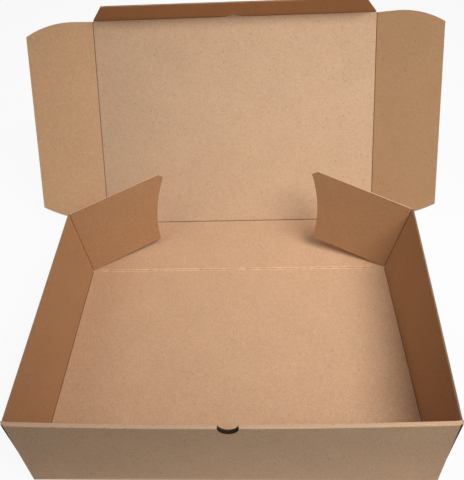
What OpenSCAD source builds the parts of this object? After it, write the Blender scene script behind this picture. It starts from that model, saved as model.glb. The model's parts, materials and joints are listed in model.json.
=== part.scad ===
// Roll-front shipping box of corrugated card, folded from one blank and shown open.
// Millimetres, +Z up, front towards -Y, origin at the middle of the underside.

/* [Board] */
// Thickness of the corrugated card.
board_t = 1.6; // [1.2:0.1:2.4]
// Clear gap left at each crease that swings.
crease_gap = 0.3; // [0.2:0.05:0.6]
// Bevel pressed into the inner face beside a crease.
crease_bevel = 0.45; // [0.2:0.05:0.6]
// Outer radius of a fold that is set for good.
fold_r = 0.9; // [0.4:0.1:1.2]

/* [Tray] */
// Outside width, left to right.
box_w = 430; // [320:1:520]
// Outside depth, front face to rear crease.
box_d = 316; // [240:1:400]
// Outside height of the walls.
box_h = 111; // [90:1:140]
// Outward lean of the left wall at its rear end, in degrees.
left_splay = 6.1; // [0:0.1:12]
// Outward lean of the right wall at its rear end, in degrees.
right_splay = 12.2; // [0:0.1:15]
// Outward lean of both side walls where the front roll holds them, in degrees.
front_splay = 1.6; // [0:0.1:3]

/* [Front wall] */
// Play around the corner flaps that the front roll traps.
roll_play = 0.2; // [0:0.05:0.6]
// How far the top of the front wall bows forward at its middle.
front_bow = 3.3; // [0:0.1:8]
// Length of the trapped front corner flaps.
front_flap_l = 100; // [60:1:130]
// Radius of the half-round thumb notch.
notch_r = 10.3; // [6:0.1:16]
// Length of each locking tab under the inner panel.
lock_l = 44; // [25:1:60]
// Place of each locking tab, as a share of the way from the middle to the trapped flap.
lock_share = 0.55; // [0.45:0.05:0.6]

/* [Lid] */
// Lean of the lid back from upright, in degrees.
lid_lean = 28.2; // [5:0.1:80]
// Space between the lid's side crease and the side wall when shut.
lid_side_play = 2.9; // [1.5:0.1:5]
// Space between the tuck flap and the rolled front when shut.
lid_front_play = 2; // [1.8:0.1:5]
// Width of the half-moon pull tab at the crease.
tab_w = 19.4; // [12:0.1:30]
// Reach of the pull tab past the crease.
tab_l = 5; // [3:0.1:8]

/* [Tuck flap] */
// Length of the tuck flap.
tuck_l = 40; // [25:1:60]
// How much each end of the tuck flap tapers in.
tuck_taper = 22; // [8:0.5:30]
// Fold of the tuck flap from the lid, in degrees.
tuck_fold = 70; // [0:1:90]

/* [Dust flaps] */
// Width of the dust flaps, out from the lid's side crease.
dust_w = 98; // [60:1:104]
// Fold of the left dust flap from the lid, in degrees.
left_dust_fold = 12; // [0:1:90]
// Fold of the right dust flap from the lid, in degrees.
right_dust_fold = 32; // [0:1:90]
// Radius of the rounded front end of a dust flap.
dust_round = 132; // [110:1:200]
// Length of the straight part of that end.
dust_flat = 27; // [10:1:40]

/* [Corner flaps] */
// How far a corner flap's lower edge is longer than the rear wall is high.
corner_extra = 3.2; // [0:0.1:6]
// Radius of the curved cut between a corner flap and a dust flap.
scoop_r = 192; // [180:1:280]
// Length cut from the tip along the top edge.
tip_cut = 7.5; // [4:0.5:14]
// Depth of the cut at the tip.
tip_drop = 7; // [3:0.1:9]
// Fold of the left corner flap from its wall, in degrees.
left_corner_fold = 58.5; // [20:0.5:90]
// Fold of the right corner flap from its wall, in degrees.
right_corner_fold = 67; // [20:0.5:90]

/* [Hidden] */
$fn = 64;
eps = 0.02;
half_gap = crease_gap / 2;
// The front roll is two panels with a trapped flap between them.
slot_t = board_t + roll_play;
roll_t = 2 * board_t + slot_t;
front_y = -box_d / 2;
rear_y = box_d / 2;
wall_h = box_h - board_t;
in_w = box_w - 2 * board_t;
back_w = in_w - 1;
hinge_y = rear_y + wall_h;
lock_x = lock_share * (in_w / 2 - front_flap_l);
lid_w = in_w - 2 * lid_side_play;
lid_l = box_d - roll_t - lid_front_play;
// Circle that the half-moon tab is part of.
tab_r = (tab_w * tab_w / 4 + tab_l * tab_l) / (2 * tab_l);
corner_l = wall_h + corner_extra;
tip_v = wall_h - tip_drop;
tip_u = corner_l + scoop_r - sqrt(scoop_r * scoop_r - tip_v * tip_v);
dust_end = lid_l - 1;
dust_rear = corner_extra + 1.4;
kraft = [0.78, 0.63, 0.48];
kraft_lid = [0.80, 0.65, 0.51];
kraft_flap = [0.74, 0.58, 0.43];

// Points of an arc in a section.
function arc(cy, cz, r, from, to) =
    [for (k = [0 : 4]) [cy + r * cos(from + (to - from) * k / 4), cz + r * sin(from + (to - from) * k / 4)]];

// One section point of a wall that leans about its crease.
function leant(p, lean) =
    p[1] <= board_t ? p : [p[0] + (p[1] - board_t) * sin(lean), board_t + (p[1] - board_t) * cos(lean)];

// A section carried along X, leaning by its own angle at each station.
module leaning_wall(section, stations, leans) {
    n = len(section);
    m = len(stations);
    points = [
        for (k = [0 : m - 1])
            for (p = section)
                [stations[k], leant(p, leans[k])[0], leant(p, leans[k])[1]]
    ];
    near = [for (k = [0 : m - 2]) for (i = [0 : n - 1])
        [k * n + i, (k + 1) * n + i, (k + 1) * n + (i + 1) % n]];
    far = [for (k = [0 : m - 2]) for (i = [0 : n - 1])
        [k * n + i, (k + 1) * n + (i + 1) % n, k * n + (i + 1) % n]];
    first = [for (i = [0 : n - 1]) i];
    last = [for (i = [n - 1 : -1 : 0]) (m - 1) * n + i];
    polyhedron(points, concat(near, far, [first], [last]));
}

// Rounded-off corner of a fold, as the piece to take away.
module fold_corner(r) {
    difference() {
        translate([-1, -1]) square(r + 1);
        translate([r, r]) circle(r);
    }
}

// Bevel along the inner edge of a panel, from x = 0 to x = length at y = 0, z = 0.
module bevel(length) {
    rotate([90, 0, 90]) linear_extrude(length)
        polygon([[-1, 1], [-1, -crease_bevel - 1], [crease_bevel + 1, 1]]);
}

// Forward lean of the bowed front wall at a place across the box.
function front_lean(x) = -asin(front_bow * (1 - 4 * x * x / (box_w * box_w)) / wall_h);

// Solid section of the rolled front wall.
function roll_section() = concat(
    [[front_y + roll_t, 0]],
    arc(front_y + roll_t - fold_r, box_h - fold_r, fold_r, 0, 90),
    arc(front_y + fold_r, box_h - fold_r, fold_r, 90, 180),
    [[front_y, board_t]],
    arc(front_y + fold_r, fold_r, fold_r, 180, 270));

// Space between the two front panels, open at the thumb notch.
module roll_space() {
    half = in_w / 2 - front_flap_l;
    places = [for (k = [0 : 8]) half * (k / 4 - 1)];
    section = [[front_y + board_t, board_t], [front_y + board_t + slot_t, board_t],
        [front_y + board_t + slot_t, box_h - board_t], [front_y + board_t, box_h - board_t]];
    leaning_wall(section, places, [for (x = places) front_lean(x)]);
}

// Seams where the roll's panels end at the side walls.
module roll_seams() {
    for (side = [-1, 1]) {
        translate([side * (in_w / 2 - 0.25), front_y + roll_t - board_t / 2 + 0.5, box_h / 2])
            cube([0.5, board_t + 1, box_h - 2 * board_t], center = true);
        translate([side * (box_w / 2 + board_t / 2), front_y + board_t, box_h / 2])
            cube([2 * board_t, 0.3, box_h - 2 * board_t], center = true);
    }
}

// Half-round thumb notch through every layer of the front wall.
module thumb_notch() {
    translate([0, front_y - front_bow - notch_r, box_h]) rotate([-90, 0, 0])
        cylinder(r = notch_r, h = roll_t + front_bow + 2 * notch_r);
}

// Slots in the bottom for the locking tabs of the inner panel.
module lock_slots() {
    for (side = [-1, 1])
        translate([side * lock_x - lock_l / 2 - 0.6, front_y + roll_t - board_t - 0.3, -1])
            cube([lock_l + 1.2, board_t + 0.6, board_t + 1]);
}

// Locking tabs, part of the inner panel.
module lock_tabs() {
    for (side = [-1, 1])
        translate([side * lock_x - lock_l / 2, front_y + roll_t - board_t, 0.2])
            cube([lock_l, board_t, board_t + 1]);
}

// Section of a side wall from its inner face to its outer one.
function wall_section(inner) = [[inner + 0.2, board_t / 2], [box_w / 2 - 0.5, board_t / 2],
    [box_w / 2, board_t], [box_w / 2, box_h], [inner, box_h], [inner, board_t]];

// One side wall, nearly upright at the front and leaning out towards its rear end.
module side_wall(splay) {
    from = front_y + roll_t - 0.5;
    to = rear_y - half_gap;
    places = [for (k = [0 : 10]) from + (to - from) * k / 10];
    leans = [for (y = places) front_splay + (splay - front_splay) * (y - from) / (rear_y - from)];
    rotate([0, 0, 90]) leaning_wall(wall_section(in_w / 2), places, leans);
}

// Front end of a side wall, thick enough to close the roll's end up to its lean.
module wall_end() {
    inner = box_w / 2 - wall_h * sin(front_splay) - 0.2;
    rotate([0, 0, 90]) leaning_wall(wall_section(inner), [front_y + board_t, front_y + roll_t],
        [front_splay, front_splay]);
}

// Bottom panel and the rear wall that lies flat behind it.
module flat_panels() {
    difference() {
        union() {
            translate([-box_w / 2, front_y + board_t, 0]) cube([box_w, box_d - board_t - half_gap, board_t]);
            translate([-back_w / 2, rear_y - 1, 0]) cube([back_w, wall_h + 1 - half_gap, board_t]);
        }
        translate([-box_w / 2 - 1, rear_y, board_t]) rotate([0, 90, 0]) rotate([0, 0, 45])
            cube([1.1, 1.1, 2 * box_w + 4], center = true);
        translate([-back_w / 2 - 1, hinge_y - half_gap, board_t]) mirror([0, 1, 0]) bevel(back_w + 2);
    }
}

// The tray: every panel of the sheet that stays folded.
module tray() {
    across = [for (k = [0 : 12]) box_w * (k / 12 - 0.5)];
    color(kraft) union() {
        difference() {
            union() {
                flat_panels();
                leaning_wall(roll_section(), across, [for (x = across) front_lean(x)]);
                side_wall(left_splay);
                mirror([1, 0, 0]) side_wall(right_splay);
                wall_end();
                mirror([1, 0, 0]) wall_end();
            }
            roll_space();
            roll_seams();
            thumb_notch();
            lock_slots();
            for (side = [0, 1])
                mirror([side, 0, 0]) translate([-box_w / 2, rear_y + 1, 0]) rotate([90, 0, 0])
                    linear_extrude(box_d + 2) fold_corner(fold_r);
        }
        lock_tabs();
    }
}

// Places its children on the lid: x across, y from hinge to front, inner face at z = 0.
module on_lid() {
    translate([0, hinge_y, board_t]) rotate([90 - lid_lean, 0, 0]) children();
}

// The lid panel with its half-moon pull tab.
module lid() {
    color(kraft_lid) on_lid() difference() {
        translate([0, 0, -board_t]) linear_extrude(board_t) union() {
            translate([-lid_w / 2 + half_gap, half_gap]) square([lid_w - crease_gap, lid_l - crease_gap]);
            intersection() {
                translate([0, lid_l + tab_l - tab_r]) circle(tab_r);
                translate([-tab_w, lid_l - 1]) square([2 * tab_w, tab_l + 2]);
            }
        }
        translate([-lid_w / 2 - 1, half_gap, 0]) bevel(lid_w + 2);
        translate([-lid_w / 2 - 1, lid_l - half_gap, 0]) mirror([0, 1, 0]) bevel(lid_w / 2 + 1 - tab_w / 2);
        translate([tab_w / 2, lid_l - half_gap, 0]) mirror([0, 1, 0]) bevel(lid_w / 2 + 1 - tab_w / 2);
        for (side = [0, 1])
            mirror([side, 0, 0]) translate([-lid_w / 2 + half_gap, lid_l + 1, 0]) rotate([0, 0, -90])
                bevel(lid_l + 2);
    }
}

// Outline of a dust flap: x out from the crease, y from the hinge end.
module dust_outline() {
    difference() {
        translate([half_gap, 0]) square([dust_w - half_gap, dust_end]);
        difference() {
            translate([-1, -1]) square([dust_w + 2, dust_rear + scoop_r + 1]);
            translate([0, dust_rear + scoop_r]) circle(scoop_r, $fn = 180);
        }
        difference() {
            translate([dust_flat, dust_end - dust_round]) square([dust_w, dust_round + 1]);
            translate([dust_flat, dust_end - dust_round]) circle(dust_round, $fn = 180);
        }
    }
}

// A dust flap on the right of the lid, flat in the lid's plane.
module dust_flap() {
    difference() {
        translate([0, 0, -board_t]) linear_extrude(board_t) dust_outline();
        translate([half_gap, lid_l + 1, 0]) rotate([0, 0, -90]) bevel(lid_l + 2);
    }
}

// The wing on the lid's left side.
module left_dust_flap() {
    color(kraft_flap) on_lid() translate([-lid_w / 2, 0, 0]) rotate([0, left_dust_fold, 0])
        mirror([1, 0, 0]) dust_flap();
}

// The wing on the lid's right side.
module right_dust_flap() {
    color(kraft_flap) on_lid() translate([lid_w / 2, 0, 0]) rotate([0, -right_dust_fold, 0]) dust_flap();
}

// The flap along the lid's front edge, cut out around the pull tab.
module tuck_flap() {
    base = lid_w / 2 - 1;
    color(kraft_flap) on_lid() translate([0, lid_l, 0]) rotate([tuck_fold, 0, 0]) difference() {
        translate([0, 0, -board_t]) linear_extrude(board_t) difference() {
            polygon([[-base, half_gap], [base, half_gap], [base - tuck_taper, tuck_l],
                [tuck_taper - base, tuck_l]]);
            translate([0, tab_l - tab_r]) circle(tab_r + 0.35);
        }
        translate([-lid_w / 2, half_gap, 0]) bevel(lid_w);
    }
}

// Outline of a corner flap: x along its length from the crease, y up.
module corner_outline() {
    difference() {
        polygon([[half_gap, 0.5], [tip_u + 3 * tip_cut, 0.5], [tip_u + 3 * tip_cut, tip_v - 3 * tip_drop],
            [corner_top(), wall_h], [half_gap, wall_h]]);
        translate([corner_l + scoop_r, 0]) circle(scoop_r, $fn = 180);
    }
}

// Length of a corner flap's top edge.
function corner_top() = tip_u - tip_cut;

// A corner flap in line with the left wall, its inner face at x = 0.
module corner_flap() {
    difference() {
        rotate([90, 0, 90]) translate([0, 0, -board_t]) linear_extrude(board_t) corner_outline();
        translate([0, half_gap, wall_h + 1]) rotate([0, 90, 0]) bevel(wall_h + 3);
    }
}

// The loose flap at the rear end of the left wall.
module left_corner_flap() {
    color(kraft_flap) translate([-in_w / 2, rear_y, board_t]) rotate([0, -left_splay, 0])
        rotate([0, 0, -left_corner_fold]) corner_flap();
}

// The loose flap at the rear end of the right wall.
module right_corner_flap() {
    color(kraft_flap) translate([in_w / 2, rear_y, board_t]) rotate([0, right_splay, 0])
        rotate([0, 0, right_corner_fold]) mirror([1, 0, 0]) corner_flap();
}

tray();
lid();
left_dust_flap();
right_dust_flap();
tuck_flap();
left_corner_flap();
right_corner_flap();
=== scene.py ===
import json
import math

import bpy
from bpy.props import FloatProperty, FloatVectorProperty, PointerProperty
from mathutils import Matrix, Vector


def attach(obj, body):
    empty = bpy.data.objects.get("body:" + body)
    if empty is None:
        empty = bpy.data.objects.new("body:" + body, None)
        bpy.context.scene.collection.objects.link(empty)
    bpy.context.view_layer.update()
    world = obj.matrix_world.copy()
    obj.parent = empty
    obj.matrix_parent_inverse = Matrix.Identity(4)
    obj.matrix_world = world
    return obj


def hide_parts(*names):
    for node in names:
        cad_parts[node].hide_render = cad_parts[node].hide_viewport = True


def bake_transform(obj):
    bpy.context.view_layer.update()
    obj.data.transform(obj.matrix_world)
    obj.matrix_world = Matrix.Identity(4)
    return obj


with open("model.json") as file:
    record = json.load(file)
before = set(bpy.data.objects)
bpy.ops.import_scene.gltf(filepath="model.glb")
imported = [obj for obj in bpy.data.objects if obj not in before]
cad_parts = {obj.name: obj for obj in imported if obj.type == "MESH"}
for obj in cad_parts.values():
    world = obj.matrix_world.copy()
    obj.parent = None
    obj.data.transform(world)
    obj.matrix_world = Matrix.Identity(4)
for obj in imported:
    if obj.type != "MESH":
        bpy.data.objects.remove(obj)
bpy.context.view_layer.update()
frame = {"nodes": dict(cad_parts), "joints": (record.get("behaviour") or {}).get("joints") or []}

bl_info = {
    "name": "Shipping box looks",
    "version": (1, 0, 0),
    "blender": (4, 5, 0),
    "location": "View3D > Sidebar > Box",
    "description": "Dresses the folded shipping box in corrugated kraft card and sets the studio",
    "category": "Object",
}

MM = 0.001
PER_MM = (1000, 1000, 1000)
ACROSS, BACK, UP = Vector((1, 0, 0)), Vector((0, 1, 0)), Vector((0, 0, 1))

# How the panels stand, in degrees, and the tray's main lines, in millimetres, as in the part's source.
LID_LEAN = 28.2
LEFT_DUST_FOLD, RIGHT_DUST_FOLD = 12, 32
TUCK_FOLD = 70
LEFT_CORNER_FOLD, RIGHT_CORNER_FOLD = 58.5, 67
LEFT_SPLAY, RIGHT_SPLAY, FRONT_SPLAY = 6.1, 12.2, 1.6
INNER_X, OUTER_X = 213.4, 215
FRONT_Y, REAR_Y, HINGE_Y = -158, 158, 267.4
WALL_FROM_Y, WALL_H, BOARD = -153.5, 109.4, 1.6
NOTCH_R, FRONT_BOW = 10.3, 3.3
FRONT_LEAN = math.asin(FRONT_BOW / WALL_H)
# The rolled front wall: the middles of its two panels at the thumb notch, how much thinner its outer panel is
# than the board, and how far the notch's groove stays under the flat top.
NOTCH_YS = (-160.37, -156.97)
ROLL_GAP, NOTCH_CAP = 0.15, 0.3
# The other panels: half widths, and reaches from the crease.
REAR_HALF_W, LID_REACH, DUST_REACH = 212.9, 309, 98
TUCK_REACH, TUCK_BASE, TUCK_TIP = 40, 209.5, 187.5
# Lines by which faces are told apart: just inside the side walls, around the space in the roll, just behind
# the roll, and around the pull tab's cut-out.
WALL_FROM_X = 212
ROLL_SPACE_Y, ROLL_END_Y = (-157, -154), -152.5
TAB_HALF_W, TAB_REACH = 10.5, 6
# Where the liner runs through each crease, from and to in millimetres along it.
LID_SPAN, DUST_SPAN, CORNER_SPAN = (-210.2, 210.2), (4.6, 307.9), (-1.2, 109.3)
TUCK_LEFT_SPAN, TUCK_RIGHT_SPAN = (-209.3, -10.4), (10.4, 209.3)
# Degrees that such a liner laps onto each panel, and that a dust flap's liner reaches under the lid's.
LAP, SLIP = 7.4, 80
# How far the flutes stand back from the cut edge, how much shorter than their hollow they are, and how far
# they stop short of the corners, in millimetres.
SET_BACK, FLOOR_BACK, END_GAP = 0.12, 0.3, 0.6
# The corner flaps' top edges get a painted highlight, and are open only this deep, in millimetres.
TOP_DEPTH = 0.8
# Which of a piece's papers its cut edges show.
CUT_SLOT, LIT_SLOT = 1, 2

CAMERA_PLACE = (0.03141, -0.44155, 0.60316)
CAMERA_TURN = (47.7872, 2.4494, 1.289)
FLOOR_GLOW = 0.93

PIVOTS = {joint["name"]: Vector(joint["pos_m"]) for joint in frame["joints"]}


class BoxCard(bpy.types.PropertyGroup):
    """Sizes and colours of the corrugated card."""

    pitch: FloatProperty(name="Flute pitch", description="Distance between flutes",
                         default=3.2 * MM, unit="LENGTH")
    liner: FloatProperty(name="Liner", description="Thickness of the flat paper on each face",
                         default=0.22 * MM, unit="LENGTH")
    medium: FloatProperty(name="Fluting", description="Thickness of the wavy paper between the liners",
                          default=0.2 * MM, unit="LENGTH")
    depth: FloatProperty(name="Open depth", description="How far the open flutes can be looked into",
                         default=5 * MM, unit="LENGTH")
    groove: FloatProperty(name="Edge groove", description="Depth between the liners where flutes run along",
                          default=1.3 * MM, unit="LENGTH")
    paper: FloatVectorProperty(name="Kraft paper", description="Colour of the liners",
                               subtype="COLOR", size=3, default=(0.54, 0.352, 0.220))
    edge: FloatVectorProperty(name="Cut edge", description="Colour of the cut liners",
                              subtype="COLOR", size=3, default=(0.57, 0.385, 0.25))
    fluting: FloatVectorProperty(name="Fluting paper", description="Colour of the wavy paper",
                                 subtype="COLOR", size=3, default=(0.42, 0.28, 0.175))


class BoxStage(bpy.types.PropertyGroup):
    """The studio around the box."""

    floor: FloatVectorProperty(name="Floor", description="Colour of the floor", subtype="COLOR", size=3,
                               default=(0.7, 0.7, 0.7))
    lens: FloatProperty(name="Lens", description="Focal length on a 36 mm frame", default=43.35, min=10)
    right: FloatProperty(name="Right light", description="Power of the lamp in front on the right",
                         default=79, unit="POWER")
    left: FloatProperty(name="Left light", description="Power of the lamp in front on the left",
                        default=31, unit="POWER")
    back: FloatProperty(name="Back light", description="Power of the low lamp behind the lid",
                        default=80, unit="POWER")
    sky: FloatProperty(name="Surroundings", description="Light from all sides", default=0.04, min=0)


class Value:
    """A number in a shader, which sums and products can be written with."""

    def __init__(self, finish, socket):
        self.finish = finish
        self.socket = socket

    def _sum(self, operation, first, second=0.0):
        return self.finish.node("Math", {"operation": operation}, {0: first, 1: second})

    def __add__(self, other):
        return self._sum("ADD", self, other)

    def __radd__(self, other):
        return self._sum("ADD", other, self)

    def __sub__(self, other):
        return self._sum("SUBTRACT", self, other)

    def __rsub__(self, other):
        return self._sum("SUBTRACT", other, self)

    def __mul__(self, other):
        return self._sum("MULTIPLY", self, other)

    def __rmul__(self, other):
        return self._sum("MULTIPLY", other, self)

    def __abs__(self):
        return self._sum("ABSOLUTE", self)


class Finish:
    """The shader of a material or of the studio's surroundings, and the one way to add nodes to it."""

    def __init__(self, owner):
        owner.use_nodes = True
        self.owner = owner
        self.tree = owner.node_tree
        name = "Background" if isinstance(owner, bpy.types.World) else "Principled BSDF"
        self.shader = self.tree.nodes[name]

    def node(self, kind, settings, sockets, output=0):
        made = self.tree.nodes.new("ShaderNode" + kind)
        for name, value in settings.items():
            setattr(made, name, value)
        for name, value in sockets.items():
            self.feed(made.inputs[name], value)
        return Value(self, made.outputs[output])

    def feed(self, socket, value):
        if isinstance(value, Value):
            self.tree.links.new(value.socket, socket)
        else:
            socket.default_value = value

    def ramp(self, value, low, high, at_low=0.0, at_high=1.0):
        return self.node("MapRange", {}, {"Value": value, "From Min": low, "From Max": high,
                                          "To Min": at_low, "To Max": at_high})

    def seen(self):
        """1 where it is looked at, straight, in gloss or through glass, and 0 where it lights the box."""
        camera, glossy, through = (self.node("LightPath", {}, {}, "Is %s Ray" % kind)
                                   for kind in ("Camera", "Glossy", "Transmission"))
        return self.node("Math", {"operation": "ADD", "use_clamp": True}, {0: camera + glossy, 1: through})

    def noise(self, place, scale, detail=2.0, roughness=0.5):
        return self.node("TexNoise", {}, {"Vector": place, "Scale": scale, "Detail": detail,
                                          "Roughness": roughness})


def kraft(name, colour, pitch, across=BACK, along=ACROSS, creases=None):
    """Brown liner paper: the flutes run with along and show through as faint ridges across.

    Its sheet is in millimetres, so a noise of scale 0.5 has spots of about 2 mm.
    """
    made = Finish(bpy.data.materials.new(name))
    turn = Matrix((along, across, along.cross(across)))
    place = made.node("TexCoord", {}, {}, "Object")
    sheet = made.node("Mapping", {}, {"Vector": place, "Rotation": turn.to_euler(), "Scale": PER_MM})
    strand = made.node("Mapping", {}, {"Vector": sheet, "Scale": (1.0, 0.55, 1.0)})
    other = made.node("Mapping", {}, {"Vector": strand, "Location": (310, 170, 90)})
    cloud = made.noise(sheet, 0.02, 2.0)
    blotch = made.noise(sheet, 0.16, 3.0)
    grain = made.noise(strand, 0.85, 2.0, 0.7)
    pore = made.noise(other, 2.8, 1.0)
    shive = made.ramp(made.noise(other, 0.5, 0.0), 0.765, 0.82)
    fleck = made.ramp(made.noise(strand, 0.55, 0.0), 0.79, 0.83)
    wave = made.node("SeparateXYZ", {}, {"Vector": sheet}, "Y") * (2 * math.pi * MM / pitch)
    ridge = made.node("Math", {"operation": "SINE"}, {0: wave})
    shade = (1.0 + (cloud - 0.5) * 0.12 + (blotch - 0.5) * 0.10 + (grain - 0.5) * 0.62 + (pore - 0.5) * 0.36
             + ridge * 0.010 - shive * 0.26 + fleck * 0.20)
    if creases:
        shade = shade * creases(made, sheet)
    warm = (colour[0] * 1.02, colour[1] * 0.985, colour[2] * 0.96, 1)
    cool = (colour[0] * 0.98, colour[1] * 1.015, colour[2] * 1.04, 1)
    share = made.ramp(blotch, 0.3, 0.7)
    tint = made.node("Mix", {"data_type": "RGBA"}, {"Factor": share, 6: warm, 7: cool}, 2)
    made.feed(made.shader.inputs["Base Color"],
              made.node("VectorMath", {"operation": "SCALE"}, {0: tint, "Scale": shade}))
    made.feed(made.shader.inputs["Roughness"], 0.84 + (grain - 0.5) * 0.2)
    made.shader.inputs["Specular IOR Level"].default_value = 0.2
    height = ridge * 0.010 + grain * 0.035 + pore * 0.02
    made.feed(made.shader.inputs["Normal"],
              made.node("Bump", {}, {"Height": height, "Distance": MM, "Strength": 1.0}))
    return made.owner


def tray_creases(made, sheet):
    """Painted shade and highlight at the tray's creases: a broken dark line of painted shade with painted
    highlights on its lips at the flat rear crease, and painted shade along the lid's hinge and the feet of
    the walls.
    """
    x, y, z = (made.node("SeparateXYZ", {}, {"Vector": sheet}, axis) for axis in "XYZ")
    highlight_patches = made.ramp(made.noise(sheet, 0.09, 2.0), 0.38, 0.6)
    dash = made.ramp(made.noise(sheet, 0.17, 2.0), 0.5, 0.6)
    rear = abs(y - REAR_Y)
    # Painted shade in the rear crease, broken into dashes, and a painted highlight on each lip that comes and
    # goes along it.
    line = made.ramp(rear, 0.3, 0.75, 1, 0)
    lips = made.ramp(abs(rear - 1.5), 0.35, 0.95, 1, 0)
    # Painted shade in the corners where the walls meet the bottom.
    foot = made.node("CombineXYZ", {}, {0: abs(x) - INNER_X, 1: z - BOARD})
    wall_foot_shade = made.ramp(made.node("VectorMath", {"operation": "LENGTH"}, {0: foot}, "Value"), 0.4, 1.1, 1, 0)
    # Painted shade along the lid's hinge.
    hinge = made.ramp(abs(y - HINGE_Y), 0.45, 1.15, 0.5, 0)
    crease_shade_and_highlight = 1.0 - line * (0.3 + dash * 0.45) + lips * (0.26 + highlight_patches * 0.24)
    return crease_shade_and_highlight * (1.0 - wall_foot_shade * 0.62) * (1.0 - hinge)


def shaded_creases(*lines):
    """Painted shade along the creases where a panel folds, each at a place in millimetres on an axis."""
    def creases(made, sheet):
        shade = 1.0
        for axis, mark in lines:
            place = made.node("SeparateXYZ", {}, {"Vector": sheet}, axis)
            shade = shade * (1.0 - made.ramp(abs(place - mark), 0.35, 1.1, 0.5, 0))
        return shade
    return creases


def raw(name, colour, scale):
    """Cut or wavy paper, plain but for its fibres; also the dark copies that are painted shade in the hollows
    and the notch, and the pale copy that is a painted highlight on top edges.
    """
    made = Finish(bpy.data.materials.new(name))
    place = made.node("TexCoord", {}, {}, "Object")
    sheet = made.node("Mapping", {}, {"Vector": place, "Scale": PER_MM})
    fibre = made.noise(sheet, scale, 3.0, 0.7)
    wide = made.noise(sheet, scale * 0.2, 1.0)
    shade = 1.0 + (fibre - 0.5) * 0.5 + (wide - 0.5) * 0.25
    made.feed(made.shader.inputs["Base Color"],
              made.node("VectorMath", {"operation": "SCALE"}, {0: (*colour,), "Scale": shade}))
    made.feed(made.shader.inputs["Roughness"], 0.9 + (fibre - 0.5) * 0.15)
    made.shader.inputs["Specular IOR Level"].default_value = 0.15
    made.feed(made.shader.inputs["Normal"],
              made.node("Bump", {}, {"Height": fibre * 0.05, "Distance": MM, "Strength": 1.0}))
    return made.owner


def turned(vector, axis, degrees):
    return Matrix.Rotation(math.radians(degrees), 3, axis) @ vector


class Panel:
    """Where a panel lies: out runs away from its crease, along runs with the crease, face looks inwards."""

    def __init__(self, corner, out, along, face):
        self.corner, self.out, self.along, self.face = corner, out, along, face

    def at(self, out, along, face):
        return self.corner + (self.out * out + self.along * along + self.face * face) * MM

    def foot(self):
        """Where the crease lies on the out axis, in millimetres."""
        return self.corner.dot(self.out) / MM

    def read(self, point):
        """How far a point lies out, along and in front, in millimetres."""
        step = (point - self.corner) / MM
        return step.dot(self.out), step.dot(self.along), step.dot(self.face)


def corner_panel(side, splay, fold):
    lean = math.radians(splay)
    axis = Vector((side * math.sin(lean), 0, math.cos(lean)))
    inwards = Vector((-side * math.cos(lean), 0, math.sin(lean)))
    name = "left_corner_crease" if side < 0 else "right_corner_crease"
    return Panel(PIVOTS[name], turned(BACK, axis, side * fold), axis, turned(inwards, axis, side * fold))


LID_ALONG = turned(BACK, ACROSS, 90 - LID_LEAN)
LID_FACE = turned(UP, ACROSS, 90 - LID_LEAN)
LID_SIDE = abs(PIVOTS["left_dust_crease"].x)
LID = Panel(PIVOTS["lid_hinge"], LID_ALONG, ACROSS, LID_FACE)
LEFT_DUST = Panel(PIVOTS["lid_hinge"] - ACROSS * LID_SIDE, turned(-ACROSS, LID_ALONG, LEFT_DUST_FOLD),
                  LID_ALONG, turned(LID_FACE, LID_ALONG, LEFT_DUST_FOLD))
RIGHT_DUST = Panel(PIVOTS["lid_hinge"] + ACROSS * LID_SIDE, turned(ACROSS, LID_ALONG, -RIGHT_DUST_FOLD),
                   LID_ALONG, turned(LID_FACE, LID_ALONG, -RIGHT_DUST_FOLD))
TUCK = Panel(PIVOTS["tuck_crease"], turned(LID_ALONG, ACROSS, TUCK_FOLD), ACROSS,
             turned(LID_FACE, ACROSS, TUCK_FOLD))
LEFT_CORNER = corner_panel(-1, LEFT_SPLAY, LEFT_CORNER_FOLD)
RIGHT_CORNER = corner_panel(1, RIGHT_SPLAY, RIGHT_CORNER_FOLD)


def wall_lean(side, y):
    splay = LEFT_SPLAY if side < 0 else RIGHT_SPLAY
    share = (y - WALL_FROM_Y) / (REAR_Y - WALL_FROM_Y)
    return math.radians(FRONT_SPLAY + (splay - FRONT_SPLAY) * share)


def alone(context, piece):
    """Makes a piece the only selected one, and the active one."""
    bpy.ops.object.select_all(action="DESELECT")
    piece.select_set(True)
    context.view_layer.objects.active = piece


def apply_all(context, piece):
    alone(context, piece)
    for modifier in list(piece.modifiers):
        bpy.ops.object.modifier_apply(modifier=modifier.name)


def card_copy(context, node, *papers):
    """A merged copy of a solid, to be cut into liners and flutes."""
    piece = bpy.data.objects.new(node + "_card", frame["nodes"][node].data.copy())
    context.collection.objects.link(piece)
    piece.data.materials.clear()
    for paper in papers:
        piece.data.materials.append(paper)
    for face in piece.data.polygons:
        face.material_index = 0
    alone(context, piece)
    bpy.ops.object.mode_set(mode="EDIT")
    bpy.ops.mesh.select_all(action="SELECT")
    bpy.ops.mesh.remove_doubles(threshold=2e-6)
    bpy.ops.mesh.dissolve_limited(angle_limit=math.radians(0.02))
    bpy.ops.mesh.tris_convert_to_quads()
    bpy.ops.mesh.customdata_custom_splitnormals_clear()
    bpy.ops.mesh.select_all(action="DESELECT")
    bpy.ops.object.mode_set(mode="OBJECT")
    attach(piece, node)
    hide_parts(node)
    return piece


def uncut(piece, face):
    return piece.data.materials[face.material_index].name not in ("cut_edge", "lit_edge", "fluting_paper")


def edge_marks(piece, panel, chosen):
    """Where the corners of an uncut edge lie in its panel, in millimetres."""
    return [panel.read(piece.data.vertices[corner].co) for face in piece.data.polygons
            if uncut(piece, face) and chosen(face.center, face.normal) for corner in face.vertices]


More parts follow.
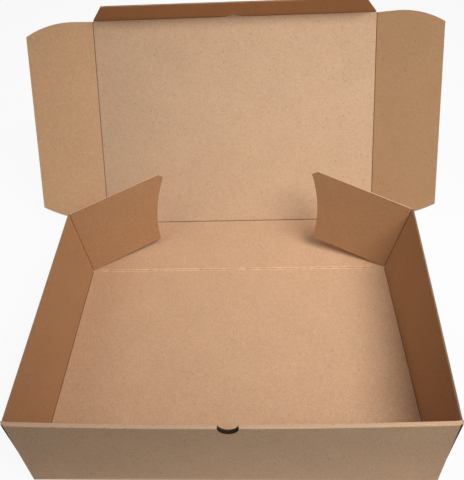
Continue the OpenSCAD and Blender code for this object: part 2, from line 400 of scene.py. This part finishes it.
def inset_edge(context, piece, chosen, liner, cut=CUT_SLOT):
    """Leaves the cut liners of an edge standing, with the faces between them selected in edit mode."""
    alone(context, piece)
    mesh = piece.data
    found = 0
    for group in (mesh.vertices, mesh.edges):
        group.foreach_set("select", [False] * len(group))
    for face in mesh.polygons:
        face.select = uncut(piece, face) and chosen(face.center, face.normal)
        if face.select:
            face.material_index = cut
            found += 1
    if not found:
        raise RuntimeError("no edge found on " + piece.name)
    context.tool_settings.mesh_select_mode = (False, False, True)
    bpy.ops.object.mode_set(mode="EDIT")
    bpy.ops.mesh.inset(thickness=liner, depth=0, use_even_offset=True)


def open_edge(context, piece, chosen, liner, reach, cut=CUT_SLOT):
    """Hollows an edge where the flutes end, as deep as reach says."""
    inset_edge(context, piece, chosen, liner, cut)
    bpy.ops.mesh.extrude_region_move(TRANSFORM_OT_translate={"value": (0, 0, 0)})
    bpy.ops.object.mode_set(mode="OBJECT")
    for vertex in piece.data.vertices:
        if vertex.select:
            vertex.co += reach(vertex.co)


def groove_edge(context, piece, chosen, liner, depth):
    """Sinks a groove between the liners of an edge that runs with the flutes."""
    inset_edge(context, piece, chosen, liner)
    bpy.ops.mesh.inset(thickness=0.02 * MM, depth=-depth, use_even_offset=True)
    bpy.ops.object.mode_set(mode="OBJECT")


def take_out(context, piece, cutter, paper):
    """Cuts a closed form out of a piece and leaves a paper on the cut."""
    cutter.data.materials.append(bpy.data.materials[paper])
    cut = piece.modifiers.new("cut", "BOOLEAN")
    cut.operation = "DIFFERENCE"
    cut.solver = "EXACT"
    cut.object = cutter
    apply_all(context, piece)
    bpy.data.objects.remove(cutter)


def wavy_strip(context, piece, paper, thickness, waves, where):
    """Fluted paper in an open edge.

    where(length, depth, height) gives a place, from shares of the length and depth and a height from -1 to 1.
    """
    steps = 8
    bpy.ops.object.select_all(action="DESELECT")
    bpy.ops.mesh.primitive_plane_add(size=1)
    strip = context.object
    bpy.ops.object.mode_set(mode="EDIT")
    context.tool_settings.mesh_select_mode = (True, False, False)
    bpy.ops.object.mode_set(mode="OBJECT")
    for group in (strip.data.vertices, strip.data.edges, strip.data.polygons):
        group.foreach_set("select", [False] * len(group))
    for vertex in strip.data.vertices:
        vertex.select = vertex.co.x > 0
    bpy.ops.object.mode_set(mode="EDIT")
    bpy.ops.mesh.delete(type="VERT")
    bpy.ops.mesh.select_all(action="SELECT")
    for step in range(steps):
        rise = math.sin(2 * math.pi * (step + 1) / steps) - math.sin(2 * math.pi * step / steps)
        bpy.ops.mesh.extrude_region_move(TRANSFORM_OT_translate={"value": (1 / steps, 0, rise)})
    bpy.ops.object.mode_set(mode="OBJECT")
    row = strip.modifiers.new("row", "ARRAY")
    row.count = waves
    row.use_relative_offset = False
    row.use_constant_offset = True
    row.constant_offset_displace = (1, 0, 0)
    row.use_merge_vertices = True
    row.merge_threshold = 0.01
    apply_all(context, strip)
    for vertex in strip.data.vertices:
        vertex.co = where((vertex.co.x + 0.5) / waves, vertex.co.y + 0.5, vertex.co.z)
    body = strip.modifiers.new("body", "SOLIDIFY")
    body.thickness = thickness
    body.offset = 0
    strip.data.materials.append(paper)
    apply_all(context, strip)
    alone(context, piece)
    strip.select_set(True)
    bpy.ops.object.join()


def straight(card, start, run, inwards, thick, room=None, reach=None):
    """Places for a wavy strip in a straight edge, from start along run, and into the card along inwards."""
    swing = (room * MM if room else BOARD * MM - 2 * card.liner) / 2 - card.medium / 2

    def where(length, depth, height):
        inside = SET_BACK * MM + depth * ((reach or card.depth) - FLOOR_BACK * MM)
        return start + run * length + inwards * inside + thick * (height * swing)
    return where


def finish_card(context, piece):
    alone(context, piece)
    bpy.ops.object.shade_smooth_by_angle(angle=math.radians(10))


class BOX_OT_papers(bpy.types.Operator):
    """Makes the papers of the card."""

    bl_idname = "box.papers"
    bl_label = "Make the papers"

    def execute(self, context):
        card = context.scene.box_card
        paper = Vector(card.paper)
        # Each panel gets a lit or shaded copy of the one kraft paper. The darker, redder copy on the inner
        # faces of the walls, the tuck flap and the corner flaps is painted shade, and so is the right dust
        # flap's darker copy. The lighter copies on the front, the lid and the left dust flap are painted
        # light. The tray's copy is tinted warmer.
        shaded_paper = paper * Vector((0.81, 0.67, 0.52))
        kraft("tray_paper", paper * Vector((1.04, 0.98, 0.94)), card.pitch, creases=tray_creases)
        kraft("wall_paper", shaded_paper, card.pitch, creases=tray_creases)
        kraft("front_paper", paper * 1.12, card.pitch, across=UP)
        kraft("lid_paper", paper * 1.04, card.pitch, LID.out, LID.along, shaded_creases(("Y", LID.foot())))
        for name, colour, panel in (
                ("left_dust_paper", paper * Vector((1.08, 0.98, 0.86)), LEFT_DUST),
                ("right_dust_paper", paper * Vector((0.84, 0.75, 0.62)), RIGHT_DUST)):
            kraft(name, colour, card.pitch, panel.along, panel.out, shaded_creases(("X", panel.foot())))
        for name, colour, panel in (
                ("tuck_paper", shaded_paper * 1.25, TUCK), ("left_corner_paper", shaded_paper, LEFT_CORNER),
                ("right_corner_paper", shaded_paper * 0.94, RIGHT_CORNER)):
            kraft(name, colour, card.pitch, panel.out, panel.along, shaded_creases(("Y", panel.foot())))
        raw("cut_edge", card.edge, 1.6)
        raw("fluting_paper", card.fluting, 1.1)
        # Painted shade: a near-black copy of the fluting paper for the hollows between the liners, in the
        # roll and around the thumb notch.
        raw("flute_hollow", Vector(card.fluting) * 0.1, 1.1)
        # Painted shade: a dark copy of the cut-edge paper for the thumb notch's cut faces.
        raw("notch_edge", Vector(card.edge) * 0.3, 1.6)
        # Painted highlight: a paler copy of the cut-edge paper for the corner flaps' top edges and the flutes
        # in them.
        raw("lit_edge", Vector(card.edge) * 1.3, 1.6)
        return {"FINISHED"}


class BOX_OT_tray(bpy.types.Operator):
    """Cuts the open flutes and grooves into the tray's edges."""

    bl_idname = "box.tray"
    bl_label = "Dress the tray"

    def execute(self, context):
        card = context.scene.box_card
        papers = ("tray_paper", "cut_edge", "front_paper", "wall_paper", "flute_hollow", "notch_edge")
        piece = card_copy(context, "tray", *(bpy.data.materials[name] for name in papers))
        for face in piece.data.polygons:
            face.material_index = papers.index(self.paper(face.center / MM, face.normal))
        for side in (-1, 1):
            self.wall_top(context, piece, card, side)
            self.front_end(context, piece, card, side)
            self.back_side(context, piece, card, side)
        for y in NOTCH_YS:
            self.notch_groove(context, piece, card, y)
        finish_card(context, piece)
        return {"FINISHED"}

    def paper(self, middle, normal):
        """Which paper a face of the tray shows, by its place in millimetres and the way it looks."""
        bow = FRONT_BOW * (1 - (middle.x / OUTER_X) ** 2) * (middle.z - BOARD) / WALL_H
        top = BOARD + WALL_H
        above_bottom = middle.z > 2
        in_roll = ROLL_SPACE_Y[0] < middle.y + bow < ROLL_SPACE_Y[1] and above_bottom and middle.z < top - 1.7
        # Faces in the space inside the roll get the near-black painted shade.
        if in_roll and abs(normal.y) > 0.9:
            return "flute_hollow"
        # The notch's cut faces get the dark painted shade.
        if abs(normal.y) < 0.3 and math.hypot(middle.x, middle.z - top) < NOTCH_R + 0.1:
            return "notch_edge"
        if middle.y < ROLL_END_Y and (abs(normal.y) > 0.6 or middle.z > top - 1.2):
            return "front_paper"
        # Inner wall faces get the wall paper, the darker copy painted as shade.
        looks_in = normal.x * middle.x < 0 and abs(normal.x) > 0.7
        if looks_in and abs(middle.x) > WALL_FROM_X and above_bottom:
            return "wall_paper"
        return "tray_paper"

    def notch_groove(self, context, piece, card, y):
        """A half disc taken out between the liners all round the thumb notch."""
        bpy.ops.object.select_all(action="DESELECT")
        bpy.ops.mesh.primitive_cylinder_add(
            vertices=48, radius=NOTCH_R * MM + card.depth, depth=BOARD * MM - 2 * card.liner,
            location=Vector((0, y, BOARD + WALL_H)) * MM, rotation=(math.radians(90) + FRONT_LEAN, 0, 0))
        disc = context.object
        bpy.ops.object.transform_apply()
        bpy.ops.object.mode_set(mode="EDIT")
        bpy.ops.mesh.select_all(action="SELECT")
        bpy.ops.mesh.bisect(plane_co=(0, 0, (WALL_H - NOTCH_CAP) * MM), plane_no=UP, use_fill=True,
                            clear_outer=True)
        bpy.ops.object.mode_set(mode="OBJECT")
        # The groove's cut faces get the near-black painted shade.
        take_out(context, piece, disc, "flute_hollow")

    def wall_top(self, context, piece, card, side):
        def top(centre, normal):
            middle = centre / MM
            behind_roll = middle.y > ROLL_END_Y + 0.1
            return normal.z > 0.9 and side * middle.x > WALL_FROM_X and behind_roll and middle.z > 100

        def down(point):
            lean = wall_lean(side, point.y / MM)
            return Vector((-side * math.sin(lean), 0, -math.cos(lean))) * card.depth
        open_edge(context, piece, top, card.liner, down)
        first, last = ROLL_END_Y + 1, REAR_Y - END_GAP
        swing = BOARD / 2 - (card.liner + card.medium / 2) / MM

        def where(length, depth, height):
            y = first + (last - first) * length
            lean = wall_lean(side, y)
            rise = WALL_H - SET_BACK - depth * (card.depth / MM - FLOOR_BACK)
            x = (INNER_X + OUTER_X) / 2 + height * swing + rise * math.sin(lean)
            return Vector((side * x, y, BOARD + rise * math.cos(lean))) * MM
        waves = round((last - first) * MM / card.pitch)
        wavy_strip(context, piece, bpy.data.materials["fluting_paper"], card.medium, waves, where)

    def front_end(self, context, piece, card, side):
        panel = BOARD - ROLL_GAP
        thick = panel - 2 * card.liner / MM
        middle = Vector((side * OUTER_X, FRONT_Y + panel / 2, BOARD + WALL_H / 2))
        bpy.ops.object.select_all(action="DESELECT")
        hollow_h, flutes_h = WALL_H - 2.4, WALL_H - 2.8
        bpy.ops.mesh.primitive_cube_add(size=1, location=middle * MM,
                                        scale=(2 * card.depth, thick * MM, hollow_h * MM))
        # The hollow's cut faces get the near-black painted shade.
        take_out(context, piece, context.object, "flute_hollow")
        start = (middle - UP * flutes_h / 2) * MM
        run = UP * flutes_h * MM
        waves = round(run.length / card.pitch)
        wavy_strip(context, piece, bpy.data.materials["fluting_paper"], card.medium, waves,
                   straight(card, start, run, ACROSS * -side, BACK, thick))

    def back_side(self, context, piece, card, side):
        def edge(centre, normal):
            middle = centre / MM
            return side * normal.x > 0.9 and middle.y > REAR_Y + 1 and side * middle.x > 200

        def inwards(point):
            return ACROSS * (-side * card.depth)
        open_edge(context, piece, edge, card.liner, inwards)
        start = Vector((side * REAR_HALF_W, REAR_Y + END_GAP, BOARD / 2)) * MM
        run = BACK * (HINGE_Y - REAR_Y - 2 * END_GAP) * MM
        waves = round(run.length / card.pitch)
        wavy_strip(context, piece, bpy.data.materials["fluting_paper"], card.medium, waves,
                   straight(card, start, run, ACROSS * -side, UP))


class BOX_OT_lid(bpy.types.Operator):
    """Dresses the lid and the flap that tucks in."""

    bl_idname = "box.lid"
    bl_label = "Dress the lid"

    def execute(self, context):
        card = context.scene.box_card
        papers = bpy.data.materials
        piece = card_copy(context, "lid", papers["lid_paper"], papers["cut_edge"])

        def tab(centre, normal):
            return LID.read(centre)[0] > LID_REACH + 0.05 and abs(normal.dot(LID_FACE)) < 0.3
        groove_edge(context, piece, tab, card.liner, card.groove)
        finish_card(context, piece)

        piece = card_copy(context, "tuck_flap", papers["tuck_paper"], papers["cut_edge"])

        def free(centre, normal):
            return normal.dot(TUCK.out) > 0.9

        def cutout(centre, normal):
            out, along = TUCK.read(centre)[:2]
            on_edge = abs(normal.dot(TUCK.face)) < 0.3 and normal.dot(TUCK.out) < 0
            return on_edge and abs(along) < TAB_HALF_W and out < TAB_REACH
        groove_edge(context, piece, free, card.liner, card.groove)
        groove_edge(context, piece, cutout, card.liner, card.groove)
        for side in (-1, 1):
            self.tuck_end(context, piece, card, side)
        finish_card(context, piece)
        return {"FINISHED"}

    def tuck_end(self, context, piece, card, side):
        def end(centre, normal):
            return side * normal.x > 0.6

        def inwards(point):
            return ACROSS * (-side * card.depth)
        open_edge(context, piece, end, card.liner, inwards)
        aside = END_GAP * (TUCK_BASE - TUCK_TIP) / TUCK_REACH
        start = TUCK.at(END_GAP, side * (TUCK_BASE - aside), -BOARD / 2)
        stop = TUCK.at(TUCK_REACH - END_GAP, side * (TUCK_TIP + aside), -BOARD / 2)
        waves = round((TUCK_REACH - 2 * END_GAP) * MM / card.pitch)
        wavy_strip(context, piece, bpy.data.materials["fluting_paper"], card.medium, waves,
                   straight(card, start, stop - start, ACROSS * -side, TUCK.face))


class BOX_OT_dust_flaps(bpy.types.Operator):
    """Cuts the open flutes and grooves into the two wings of the lid."""

    bl_idname = "box.dust_flaps"
    bl_label = "Dress the dust flaps"

    def execute(self, context):
        card = context.scene.box_card
        papers = bpy.data.materials
        for name, panel in (("left_dust_flap", LEFT_DUST), ("right_dust_flap", RIGHT_DUST)):
            piece = card_copy(context, name, papers[name[:-4] + "paper"], papers["cut_edge"])

            def side(centre, normal):
                return normal.dot(panel.out) > 0.98

            def ends(centre, normal):
                on_edge = abs(normal.dot(panel.face)) < 0.3 and normal.dot(panel.out) < 0.9
                return on_edge and panel.read(centre)[0] > 1

            def inwards(point):
                return panel.out * -card.depth
            marks = [mark[1] for mark in edge_marks(piece, panel, side)]
            first, last = min(marks) + END_GAP, max(marks) - END_GAP
            groove_edge(context, piece, ends, card.liner, card.groove)
            open_edge(context, piece, side, card.liner, inwards)
            start = panel.at(DUST_REACH, first, -BOARD / 2)
            run = panel.along * ((last - first) * MM)
            wavy_strip(context, piece, papers["fluting_paper"], card.medium, round(run.length / card.pitch),
                       straight(card, start, run, -panel.out, panel.face))
            finish_card(context, piece)
        return {"FINISHED"}


class BOX_OT_corner_flaps(bpy.types.Operator):
    """Cuts the open flutes and grooves into the two corner flaps."""

    bl_idname = "box.corner_flaps"
    bl_label = "Dress the corner flaps"

    def execute(self, context):
        card = context.scene.box_card
        papers = bpy.data.materials
        for name, panel in (("left_corner", LEFT_CORNER), ("right_corner", RIGHT_CORNER)):
            piece = card_copy(context, name + "_flap", papers[name + "_paper"], papers["cut_edge"],
                              papers["lit_edge"])

            def free(centre, normal):
                on_edge = abs(normal.dot(panel.face)) < 0.3 and abs(normal.dot(panel.along)) < 0.95
                return on_edge and panel.read(centre)[0] > 5
            groove_edge(context, piece, free, card.liner, card.groove)
            # The top edge and its flutes get the painted highlight; the bottom edge is plain cut paper.
            for up, reach, cut, wave in (
                    (1, TOP_DEPTH * MM, LIT_SLOT, "lit_edge"), (-1, card.depth, CUT_SLOT, "fluting_paper")):
                def edge(centre, normal):
                    return up * normal.dot(panel.along) > 0.95

                def inwards(point):
                    return panel.along * (-up * reach)
                marks = edge_marks(piece, panel, edge)
                first = min(mark[0] for mark in marks) + END_GAP
                last = max(mark[0] for mark in marks) - END_GAP
                level = marks[0][1]
                open_edge(context, piece, edge, card.liner, inwards, cut)
                start = panel.at(first, level, -BOARD / 2)
                run = panel.out * ((last - first) * MM)
                wavy_strip(context, piece, papers[wave], card.medium, round(run.length / card.pitch),
                           straight(card, start, run, panel.along * -up, panel.face, reach=reach))
            finish_card(context, piece)
        return {"FINISHED"}


class BOX_OT_creases(bpy.types.Operator):
    """Closes each swinging crease on its outer side with the liner that runs through it.

    A dust flap's liner stays with the flap and slips under the lid's as the flap opens. The others stay where
    they are made.
    """

    bl_idname = "box.creases"
    bl_label = "Close the creases"

    def execute(self, context):
        card = context.scene.box_card
        wall = {side: Vector((side * math.cos(math.radians(splay)), 0, -math.sin(math.radians(splay))))
                for side, splay in ((-1, LEFT_SPLAY), (1, RIGHT_SPLAY))}
        tuck = PIVOTS["tuck_crease"]
        for name, bodies, paper, pivot, axis, outer, fold, span in (
                ("lid_crease", ("tray", "lid"), "tray_paper",
                 LID.corner, ACROSS, -UP, 90 - LID_LEAN, LID_SPAN),
                ("left_dust_crease", ("left_dust_flap",), "left_dust_paper",
                 LEFT_DUST.corner, LID_ALONG, -LID_FACE, LEFT_DUST_FOLD, DUST_SPAN),
                ("right_dust_crease", ("right_dust_flap",), "right_dust_paper",
                 RIGHT_DUST.corner, LID_ALONG, -LID_FACE, -RIGHT_DUST_FOLD, DUST_SPAN),
                ("tuck_crease_left", ("lid", "tuck_flap"), "tuck_paper",
                 tuck, ACROSS, -LID_FACE, TUCK_FOLD, TUCK_LEFT_SPAN),
                ("tuck_crease_right", ("lid", "tuck_flap"), "tuck_paper",
                 tuck, ACROSS, -LID_FACE, TUCK_FOLD, TUCK_RIGHT_SPAN),
                ("left_corner_crease", ("tray", "left_corner_flap"), "left_corner_paper",
                 LEFT_CORNER.corner, LEFT_CORNER.along, wall[-1], -LEFT_CORNER_FOLD, CORNER_SPAN),
                ("right_corner_crease", ("tray", "right_corner_flap"), "right_corner_paper",
                 RIGHT_CORNER.corner, RIGHT_CORNER.along, wall[1], RIGHT_CORNER_FOLD, CORNER_SPAN)):
            self.crease(context, card, name, bodies, paper, pivot, axis, outer, fold, span)
        return {"FINISHED"}

    def crease(self, context, card, name, bodies, paper, pivot, axis, outer, fold, span):
        radius = BOARD * MM - card.liner / 2
        past = math.copysign(LAP, fold)
        first = -past if len(bodies) == 2 else fold - math.copysign(SLIP, fold)
        bpy.ops.object.select_all(action="DESELECT")
        bpy.ops.mesh.primitive_grid_add(x_subdivisions=14, y_subdivisions=1, size=1)
        strip = context.object
        strip.name = name
        for vertex in strip.data.vertices:
            angle = first + (fold + past - first) * (vertex.co.x + 0.5)
            place = (span[0] + (span[1] - span[0]) * (vertex.co.y + 0.5)) * MM
            vertex.co = pivot + axis * place + turned(outer, axis, angle) * radius
        body = strip.modifiers.new("body", "SOLIDIFY")
        body.thickness = card.liner
        body.offset = 0
        strip.data.materials.append(bpy.data.materials[paper])
        apply_all(context, strip)
        bpy.ops.object.shade_smooth_by_angle(angle=math.radians(40))
        if len(bodies) == 2:
            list(bodies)
            pivot + outer * radius
            pivot + turned(outer, axis, fold) * radius
            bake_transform(strip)
        else:
            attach(strip, *bodies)


class BOX_OT_stage(bpy.types.Operator):
    """Lays the floor, hangs the lights and places the camera."""

    bl_idname = "box.stage"
    bl_label = "Set the studio"

    def execute(self, context):
        stage = context.scene.box_stage
        bpy.ops.object.select_all(action="DESELECT")
        bpy.ops.mesh.primitive_plane_add(size=12)
        floor = context.object
        floor.name = "floor"
        pale = Finish(bpy.data.materials.new("floor_paint"))
        pale.shader.inputs["Base Color"].default_value = (*stage.floor, 1)
        pale.shader.inputs["Roughness"].default_value = 0.9
        glow = pale.node("Emission", {}, {"Strength": 1.0})
        both = pale.node("MixShader", {}, {0: pale.seen() * FLOOR_GLOW, 2: glow})
        pale.tree.links.new(pale.shader.outputs[0], both.socket.node.inputs[1])
        pale.tree.links.new(both.socket, pale.tree.nodes["Material Output"].inputs["Surface"])
        floor.data.materials.append(pale.owner)
        self.surroundings(context, stage.sky)
        for name, power, aim, around, height, away, cone in (
                ("right_lamp", stage.right, (0.1, 0.17, 0.08), 41, 56, 1.23, 70),
                ("left_lamp", stage.left, (0.1, 0.3, 0.2), -50, 46, 1.58, 50),
                ("back_lamp", stage.back, (0, 0.35, 0.14), 180, 12, 1.8, 60)):
            self.lamp(context, name, power, Vector(aim), around, height, away, cone)
        bpy.ops.object.camera_add(location=CAMERA_PLACE,
                                  rotation=[math.radians(turn) for turn in CAMERA_TURN])
        camera = context.object
        camera.data.sensor_fit = "AUTO"
        camera.data.sensor_width = 36
        camera.data.lens = stage.lens
        context.scene.camera = camera
        context.scene.view_settings.view_transform = "Standard"
        return {"FINISHED"}

    def surroundings(self, context, strength):
        context.scene.world = context.scene.world or bpy.data.worlds.new("studio")
        made = Finish(context.scene.world)
        made.shader.inputs["Color"].default_value = (1, 1, 1, 1)
        made.feed(made.shader.inputs["Strength"], made.ramp(made.seen(), 0, 1, strength, 1))

    def lamp(self, context, name, power, aim, around, height, away, cone):
        """A soft lamp at a bearing and height in degrees and a distance in metres, brightest at its aim."""
        bearing, rise = math.radians(around), math.radians(height)
        level = math.cos(rise)
        towards = Vector((math.sin(bearing) * level, -math.cos(bearing) * level, math.sin(rise)))
        bpy.ops.object.light_add(type="SPOT", location=aim + towards * away)
        lamp = context.object
        lamp.name = name
        lamp.rotation_euler = (-towards).to_track_quat("-Z", "Y").to_euler()
        lamp.data.energy = power
        lamp.data.shadow_soft_size = 0.42
        lamp.data.spot_size = math.radians(cone)
        lamp.data.spot_blend = 1


class BOX_PT_sidebar(bpy.types.Panel):
    """Lists the box's looks."""

    bl_label = "Shipping box"
    bl_space_type = "VIEW_3D"
    bl_region_type = "UI"
    bl_category = "Box"

    def draw(self, context):
        for group in (context.scene.box_card, context.scene.box_stage):
            for name in group.__annotations__:
                self.layout.prop(group, name)
        for operator in OPERATORS:
            self.layout.operator(operator.bl_idname)


OPERATORS = (BOX_OT_papers, BOX_OT_tray, BOX_OT_lid, BOX_OT_dust_flaps, BOX_OT_corner_flaps, BOX_OT_creases,
             BOX_OT_stage)
CLASSES = (BoxCard, BoxStage, *OPERATORS, BOX_PT_sidebar)


def register():
    for cls in CLASSES:
        bpy.utils.register_class(cls)
    bpy.types.Scene.box_card = PointerProperty(type=BoxCard)
    bpy.types.Scene.box_stage = PointerProperty(type=BoxStage)


def unregister():
    del bpy.types.Scene.box_stage
    del bpy.types.Scene.box_card
    for cls in reversed(CLASSES):
        bpy.utils.unregister_class(cls)


def main():
    register()
    bpy.ops.box.papers()
    bpy.ops.box.tray()
    bpy.ops.box.lid()
    bpy.ops.box.dust_flaps()
    bpy.ops.box.corner_flaps()
    bpy.ops.box.creases()
    bpy.ops.box.stage()


if __name__ == "__main__":
    main()
